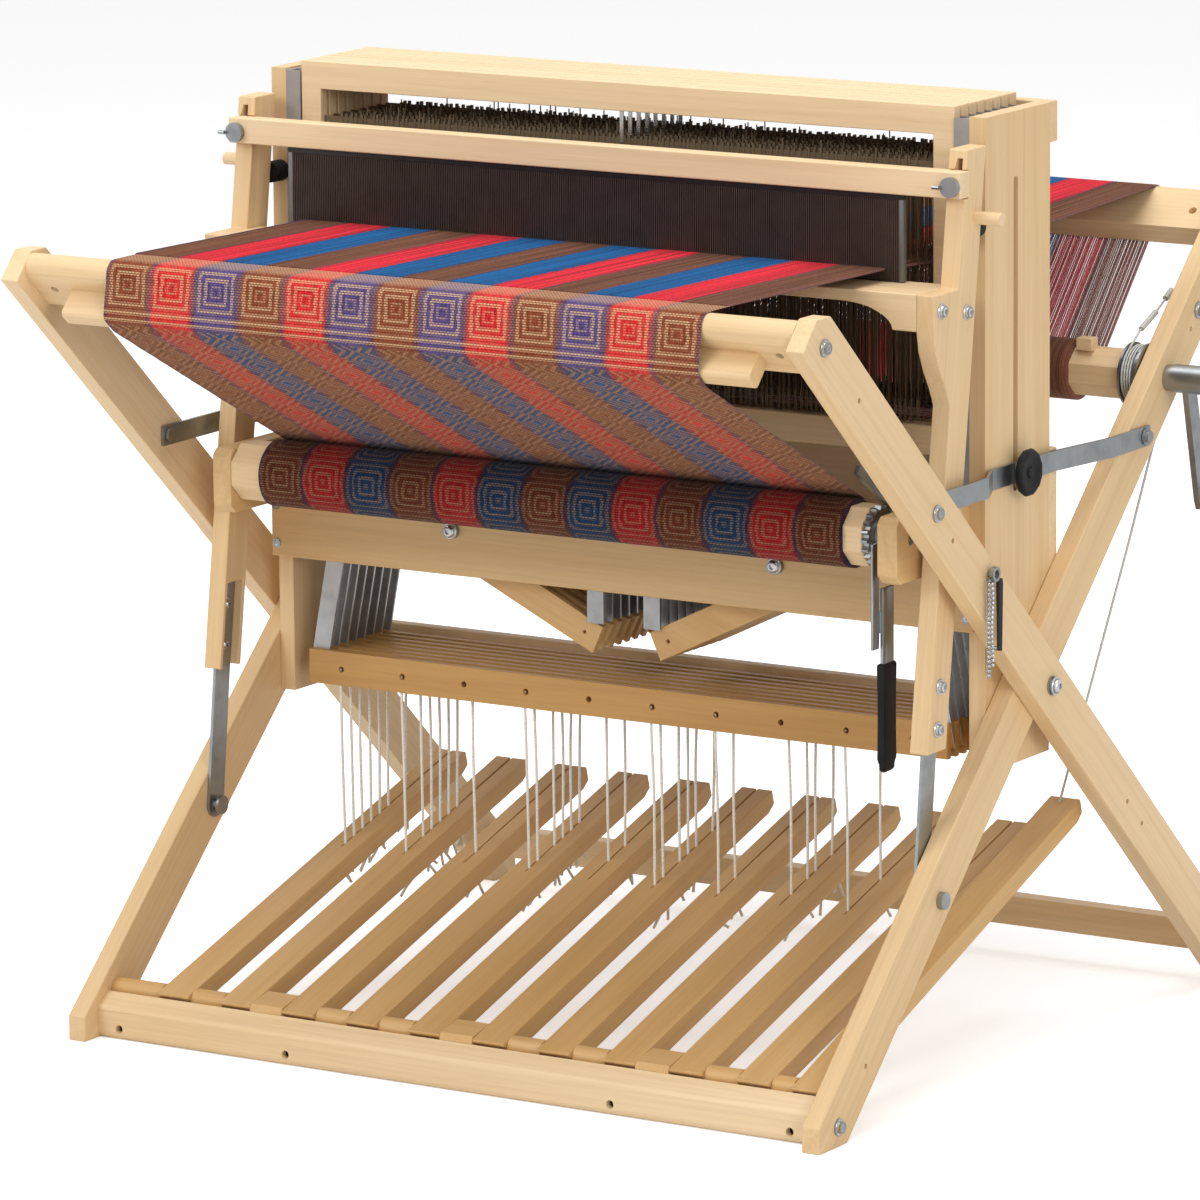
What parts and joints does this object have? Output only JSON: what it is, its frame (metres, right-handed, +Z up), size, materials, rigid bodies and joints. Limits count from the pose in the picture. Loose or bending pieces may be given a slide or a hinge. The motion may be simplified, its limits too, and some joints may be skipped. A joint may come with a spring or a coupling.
{
  "type": "floor loom",
  "caption": "Folding floor loom with X-shaped maple legs, a castle of shafts, a swinging beater, treadles tied up with cords, and cloth being woven.",
  "frame": {"origin": "centre of the front floor bar's flat underside, on the floor, on the loom's middle plane", "axes": "+X to the right as the weaver sits facing the loom, +Y from the weaver to the back beam, +Z up"},
  "size_m": [0.9354, 0.8892, 0.889],
  "materials": {
    "maple": "oiled",
    "lamm_wood": "oiled",
    "zinc": "plated",
    "dark_steel": "satin",
    "grey_plastic": "matte",
    "black_plastic": "matte",
    "woven": "woven",
    "warp": "threads",
    "cord": "braided"
  },
  "bodies": {
    "castle": {"castle_sides": "maple", "castle_boards": "maple", "apron_board": "maple", "guides_and_bumpers": "grey_plastic", "cloth_beam_arms": "maple", "castle_hardware": "zinc", "warp_threads": "warp"},
    "cloth_beam_body": {"cloth_beam": "maple", "ratchet_wheel": "zinc", "cloth_roll": "woven"},
    "pawl": {"ratchet_pawl": "zinc"},
    "lever": {"advance_lever": "zinc"},
    "frame_a": {"legs_a": "maple", "breast_beam": "maple", "rear_floor_bar": "maple", "frame_a_hardware": "zinc", "woven_cloth": "woven"},
    "frame_b": {"legs_b": "maple", "back_beam": "maple", "front_floor_bar": "maple", "treadle_rod": "maple", "frame_b_hardware": "zinc", "brake_cable": "cord"},
    "slot_bolt_pair": {"slot_bolts": "zinc"},
    "front_link_pair": {"front_links": "zinc"},
    "rear_link_pair": {"rear_links": "zinc"},
    "left_knob": {"knob_left": "black_plastic"},
    "right_knob": {"knob_right": "black_plastic"},
    "beater_pivot_pair": {"beater_pivots": "zinc"},
    "beater": {"beater_swords": "maple", "beater_hardware": "zinc", "race_beam": "maple", "hand_tree": "maple", "reed": "dark_steel"},
    "shaft_set_odd": {"shafts_odd": "maple", "heddles_odd": "dark_steel"},
    "shaft_set_even": {"shafts_even": "maple", "heddles_even": "dark_steel"},
    "jack_set_left_odd": {"jacks_left_odd": "maple"},
    "jack_set_left_even": {"jacks_left_even": "maple"},
    "jack_set_right_odd": {"jacks_right_odd": "maple"},
    "jack_set_right_even": {"jacks_right_even": "maple"},
    "lamm_set_odd": {"lamms_odd": "lamm_wood", "tie_up_cords": "cord"},
    "lamm_set_even": {"lamms_even": "lamm_wood"},
    "pedal": {"brake_pedal": "maple"},
    "warp_beam_body": {"warp_beam": "maple", "warp_roll": "warp", "brake_drum": "zinc", "crank_handle": "zinc"},
    "treadle_body_1": {"treadle_1": "maple"},
    "treadle_body_2": {"treadle_2": "maple"},
    "treadle_body_3": {"treadle_3": "maple"},
    "treadle_body_4": {"treadle_4": "maple"},
    "treadle_body_5": {"treadle_5": "maple"},
    "treadle_body_6": {"treadle_6": "maple"},
    "treadle_body_7": {"treadle_7": "maple"},
    "treadle_body_8": {"treadle_8": "maple"},
    "treadle_body_9": {"treadle_9": "maple"},
    "treadle_body_10": {"treadle_10": "maple"}
  },
  "joints": [
    {"name": "fold", "type": "hinge", "parent": "castle", "child": "frame_a", "pos_m": [0, 0.3535, 0.3538], "axis": [-1, 0, 0], "range_deg": [0, 27.5], "deforming": ["woven_cloth", "warp_threads", "brake_cable"]},
    {"name": "fold_rear", "type": "hinge", "parent": "castle", "child": "frame_b", "pos_m": [0, 0.3535, 0.3538], "axis": [1, 0, 0], "range_deg": [0, 27.5], "deforming": ["tie_up_cords"]},
    {"name": "slot_slide", "type": "slide", "parent": "castle", "child": "slot_bolt_pair", "axis": [0, 0, 1], "range_m": [0, 0.2648]},
    {"name": "front_link_turn", "type": "hinge", "parent": "frame_a", "child": "front_link_pair", "pos_m": [0, 0.13975, 0.5483], "axis": [1, 0, 0], "range_deg": [0, 90]},
    {"name": "rear_link_turn", "type": "hinge", "parent": "frame_b", "child": "rear_link_pair", "pos_m": [0, 0.56486, 0.5509], "axis": [-1, 0, 0], "range_deg": [0, 91]},
    {"name": "left_knob_turn", "type": "hinge", "parent": "rear_link_pair", "child": "left_knob", "pos_m": [-0.4, 0.3535, 0.5495], "axis": [1, 0, 0], "continuous": true},
    {"name": "right_knob_turn", "type": "hinge", "parent": "rear_link_pair", "child": "right_knob", "pos_m": [0.4, 0.3535, 0.5495], "axis": [1, 0, 0], "continuous": true},
    {"name": "beater_carry", "type": "hinge", "parent": "frame_b", "child": "beater_pivot_pair", "pos_m": [0, 0.1795, 0.186], "axis": [-1, 0, 0], "range_deg": [0, 16.5]},
    {"name": "beater_swing", "type": "hinge", "parent": "beater_pivot_pair", "child": "beater", "pos_m": [0, 0.1795, 0.186], "axis": [-1, 0, 0], "range_deg": [-23, 0], "deforming": ["warp_threads", "woven_cloth"]},
    {"name": "shed_odd", "type": "slide", "parent": "castle", "child": "shaft_set_odd", "axis": [0, 0, 1], "range_m": [0, 0.06], "deforming": ["warp_threads", "tie_up_cords"]},
    {"name": "shed_even", "type": "slide", "parent": "castle", "child": "shaft_set_even", "axis": [0, 0, 1], "range_m": [0, 0.06], "deforming": ["warp_threads", "tie_up_cords"]},
    {"name": "jack_left_odd_turn", "type": "hinge", "parent": "castle", "child": "jack_set_left_odd", "pos_m": [-0.1775, 0.3535, 0.4544], "axis": [0, -1, 0], "range_deg": [0, 21.95]},
    {"name": "jack_left_even_turn", "type": "hinge", "parent": "castle", "child": "jack_set_left_even", "pos_m": [-0.1775, 0.3535, 0.4544], "axis": [0, -1, 0], "range_deg": [0, 21.95]},
    {"name": "jack_right_odd_turn", "type": "hinge", "parent": "castle", "child": "jack_set_right_odd", "pos_m": [0.1775, 0.3535, 0.4544], "axis": [0, 1, 0], "range_deg": [0, 21.95]},
    {"name": "jack_right_even_turn", "type": "hinge", "parent": "castle", "child": "jack_set_right_even", "pos_m": [0.1775, 0.3535, 0.4544], "axis": [0, 1, 0], "range_deg": [0, 21.95]},
    {"name": "lamm_odd_slide", "type": "slide", "parent": "castle", "child": "lamm_set_odd", "axis": [0, 0, -1], "range_m": [0, 0.0551]},
    {"name": "lamm_even_slide", "type": "slide", "parent": "castle", "child": "lamm_set_even", "axis": [0, 0, -1], "range_m": [0, 0.0551]},
    {"name": "treadle_1_press", "type": "hinge", "parent": "frame_b", "child": "treadle_body_1", "pos_m": [0, 0.0165, 0.041], "axis": [-1, 0, 0], "range_deg": [0, 10], "stiffness_Nm_per_rad": 1.5, "springref_deg": -28.65, "deforming": ["tie_up_cords"]},
    {"name": "treadle_2_press", "type": "hinge", "parent": "frame_b", "child": "treadle_body_2", "pos_m": [0, 0.0165, 0.041], "axis": [-1, 0, 0], "range_deg": [0, 10], "stiffness_Nm_per_rad": 1.5, "springref_deg": -28.65, "deforming": ["tie_up_cords"]},
    {"name": "treadle_3_press", "type": "hinge", "parent": "frame_b", "child": "treadle_body_3", "pos_m": [0, 0.0165, 0.041], "axis": [-1, 0, 0], "range_deg": [0, 10], "stiffness_Nm_per_rad": 1.5, "springref_deg": -28.65, "deforming": ["tie_up_cords"]},
    {"name": "treadle_4_press", "type": "hinge", "parent": "frame_b", "child": "treadle_body_4", "pos_m": [0, 0.0165, 0.041], "axis": [-1, 0, 0], "range_deg": [0, 10], "stiffness_Nm_per_rad": 1.5, "springref_deg": -28.65, "deforming": ["tie_up_cords"]},
    {"name": "treadle_5_press", "type": "hinge", "parent": "frame_b", "child": "treadle_body_5", "pos_m": [0, 0.0165, 0.041], "axis": [-1, 0, 0], "range_deg": [0, 10], "stiffness_Nm_per_rad": 1.5, "springref_deg": -28.65, "deforming": ["tie_up_cords"]},
    {"name": "treadle_6_press", "type": "hinge", "parent": "frame_b", "child": "treadle_body_6", "pos_m": [0, 0.0165, 0.041], "axis": [-1, 0, 0], "range_deg": [0, 10], "stiffness_Nm_per_rad": 1.5, "springref_deg": -28.65, "deforming": ["tie_up_cords"]},
    {"name": "treadle_7_press", "type": "hinge", "parent": "frame_b", "child": "treadle_body_7", "pos_m": [0, 0.0165, 0.041], "axis": [-1, 0, 0], "range_deg": [0, 10], "stiffness_Nm_per_rad": 1.5, "springref_deg": -28.65, "deforming": ["tie_up_cords"]},
    {"name": "treadle_8_press", "type": "hinge", "parent": "frame_b", "child": "treadle_body_8", "pos_m": [0, 0.0165, 0.041], "axis": [-1, 0, 0], "range_deg": [0, 10], "stiffness_Nm_per_rad": 1.5, "springref_deg": -28.65, "deforming": ["tie_up_cords"]},
    {"name": "treadle_9_press", "type": "hinge", "parent": "frame_b", "child": "treadle_body_9", "pos_m": [0, 0.0165, 0.041], "axis": [-1, 0, 0], "range_deg": [0, 10], "stiffness_Nm_per_rad": 1.5, "springref_deg": -28.65, "deforming": ["tie_up_cords"]},
    {"name": "treadle_10_press", "type": "hinge", "parent": "frame_b", "child": "treadle_body_10", "pos_m": [0, 0.0165, 0.041], "axis": [-1, 0, 0], "range_deg": [0, 10], "stiffness_Nm_per_rad": 1.5, "springref_deg": -28.65, "deforming": ["tie_up_cords"]},
    {"name": "brake_press", "type": "hinge", "parent": "frame_b", "child": "pedal", "pos_m": [0, 0.0165, 0.041], "axis": [-1, 0, 0], "range_deg": [0, 8], "stiffness_Nm_per_rad": 1.5, "springref_deg": -28.65, "deforming": ["brake_cable"]},
    {"name": "cloth_beam_turn", "type": "hinge", "parent": "castle", "child": "cloth_beam_body", "pos_m": [0, 0.19, 0.512], "axis": [1, 0, 0], "continuous": true, "deforming": ["woven_cloth"]},
    {"name": "pawl_lift", "type": "hinge", "parent": "castle", "child": "pawl", "pos_m": [0.338, 0.2275, 0.516], "axis": [-1, 0, 0], "range_deg": [0, 25]},
    {"name": "lever_pull", "type": "hinge", "parent": "castle", "child": "lever", "pos_m": [0.345, 0.19, 0.512], "axis": [-1, 0, 0], "range_deg": [0, 70]},
    {"name": "warp_beam_turn", "type": "hinge", "parent": "frame_b", "child": "warp_beam_body", "pos_m": [0, 0.6162, 0.59877], "axis": [1, 0, 0], "continuous": true, "deforming": ["warp_threads", "brake_cable"]}
  ],
  "couplings": [
    {"joint": "fold_rear", "follows": "fold", "ratio": 1},
    {"joint": "slot_slide", "follows": "fold", "m_per_rad": 0.5515},
    {"joint": "front_link_turn", "follows": "fold", "ratio": 3.249},
    {"joint": "rear_link_turn", "follows": "fold", "ratio": 3.299},
    {"joint": "beater_carry", "follows": "fold", "ratio": 0.6},
    {"joint": "jack_left_odd_turn", "follows": "shed_odd", "rad_per_m": 6.37},
    {"joint": "jack_right_odd_turn", "follows": "shed_odd", "rad_per_m": 6.37},
    {"joint": "lamm_odd_slide", "follows": "shed_odd", "ratio": 0.9167},
    {"joint": "jack_left_even_turn", "follows": "shed_even", "rad_per_m": 6.37},
    {"joint": "jack_right_even_turn", "follows": "shed_even", "rad_per_m": 6.37},
    {"joint": "lamm_even_slide", "follows": "shed_even", "ratio": 0.9167}
  ]
}
